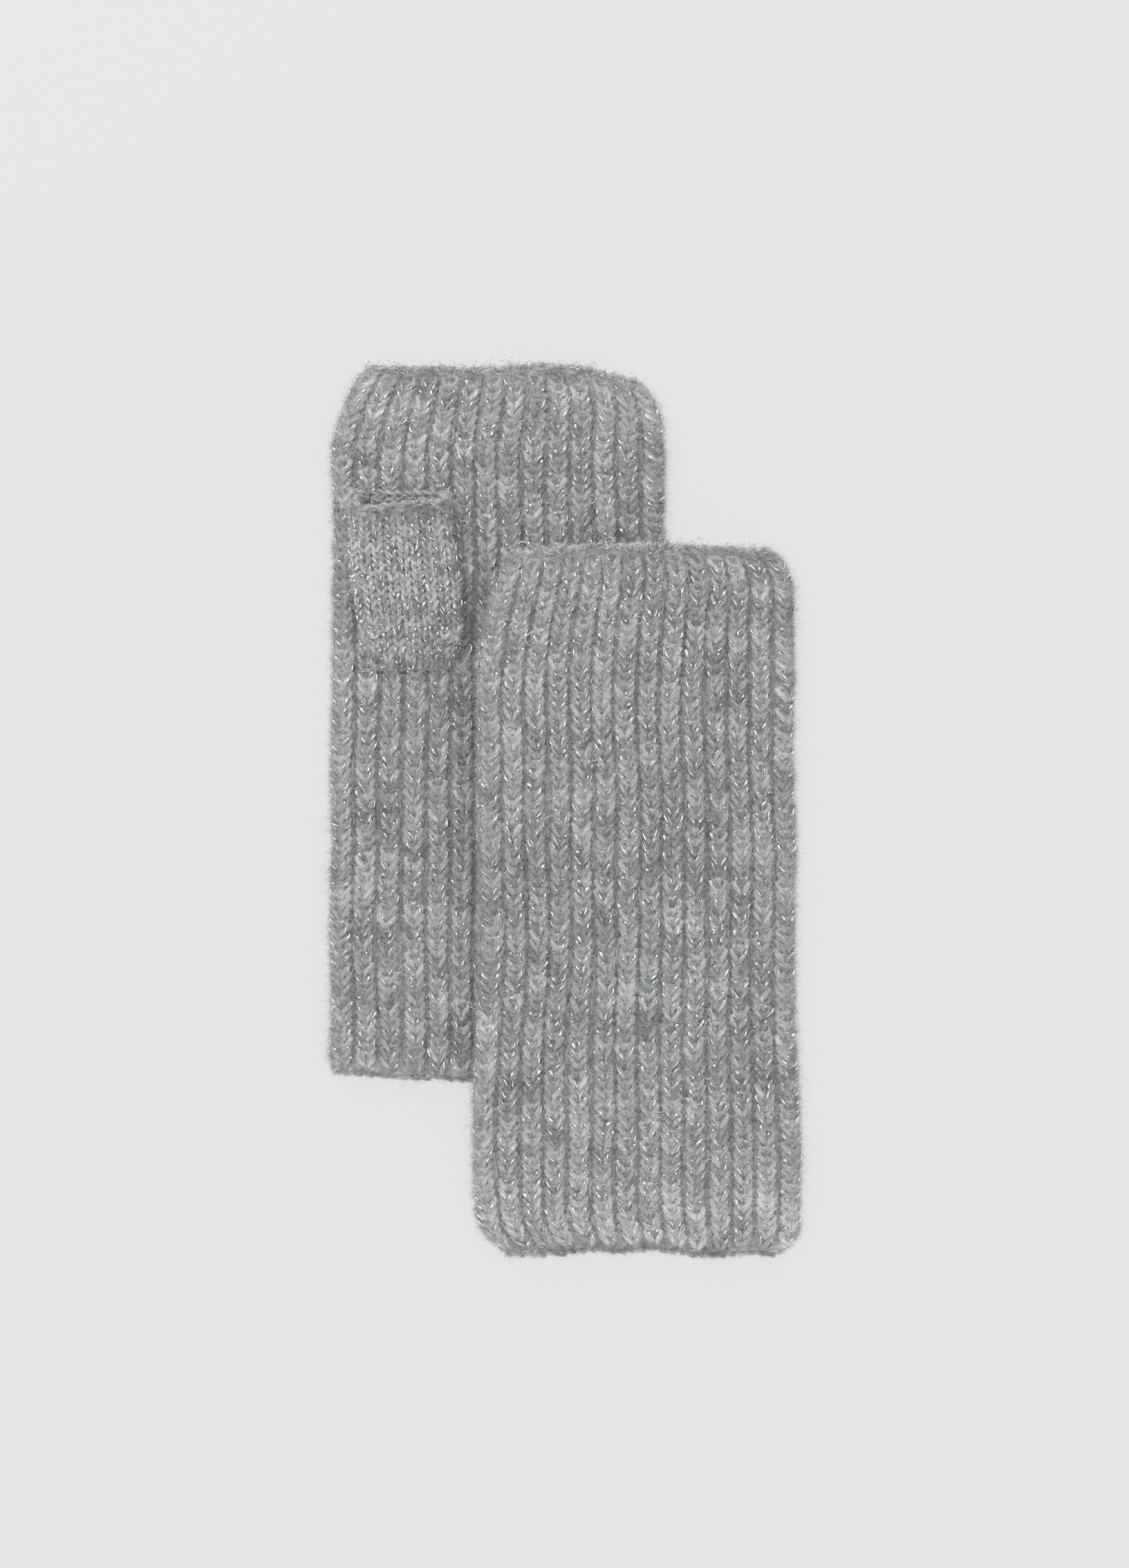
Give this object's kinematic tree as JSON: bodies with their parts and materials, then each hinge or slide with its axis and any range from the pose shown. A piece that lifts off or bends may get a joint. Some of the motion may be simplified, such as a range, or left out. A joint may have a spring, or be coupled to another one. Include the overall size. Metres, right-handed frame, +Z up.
{
  "type": "fingerless gloves",
  "caption": "Pair of long fingerless rib-knit gloves with short thumb tubes, laid flat, the right glove lying partly over the left.",
  "frame": {"origin": "on the floor under the middle of the pair's bounding box, as the pair lies", "axes": "+Y along the gloves towards the finger edges, +Z up from the floor, +X from the left glove to the right one"},
  "size_m": [0.1372, 0.2584, 0.0247],
  "materials": {
    "rib_knit": "brushed light-grey wool-blend 1x1 rib with a fine silver filament",
    "plain_knit": "brushed light-grey wool-blend stocking stitch with a fine silver filament",
    "edge_chain": "chained edge in the same light-grey yarn, with loose filament loops",
    "seam_yarn": "linked seam in the same light-grey yarn"
  },
  "bodies": {
    "left_hand": {"left_hand_panel": "rib_knit", "left_finger_edge": "edge_chain", "left_cuff_edge": "edge_chain", "left_side_seam": "seam_yarn", "left_thumb_base_seam": "seam_yarn"},
    "left_thumb": {"left_thumb_tube": "plain_knit", "left_thumb_edge": "edge_chain", "left_thumb_seam": "seam_yarn"},
    "right_hand": {"right_hand_panel": "rib_knit", "right_finger_edge": "edge_chain", "right_cuff_edge": "edge_chain", "right_side_seam": "seam_yarn", "right_thumb_base_seam": "seam_yarn"},
    "right_thumb": {"right_thumb_tube": "plain_knit", "right_thumb_edge": "edge_chain", "right_thumb_seam": "seam_yarn"}
  },
  "joints": [
    {"name": "right_glove_lift", "type": "slide", "parent": "left_hand", "child": "right_hand", "axis": [0, 0, 1], "range_m": [0, 0.15]},
    {"name": "left_thumb_fold", "type": "hinge", "parent": "left_hand", "child": "left_thumb", "pos_m": [-0.04425, 0.0492, 0.0144], "axis": [1, 0, 0], "range_deg": [0, 150]},
    {"name": "right_thumb_fold", "type": "hinge", "parent": "right_hand", "child": "right_thumb", "pos_m": [-0.00385, -0.0022, 0.0144], "axis": [1, 0, 0], "range_deg": [-90, 0]}
  ],
  "couplings": [
    {"joint": "right_thumb_fold", "follows": "right_glove_lift", "rad_per_m": -10.47}
  ]
}
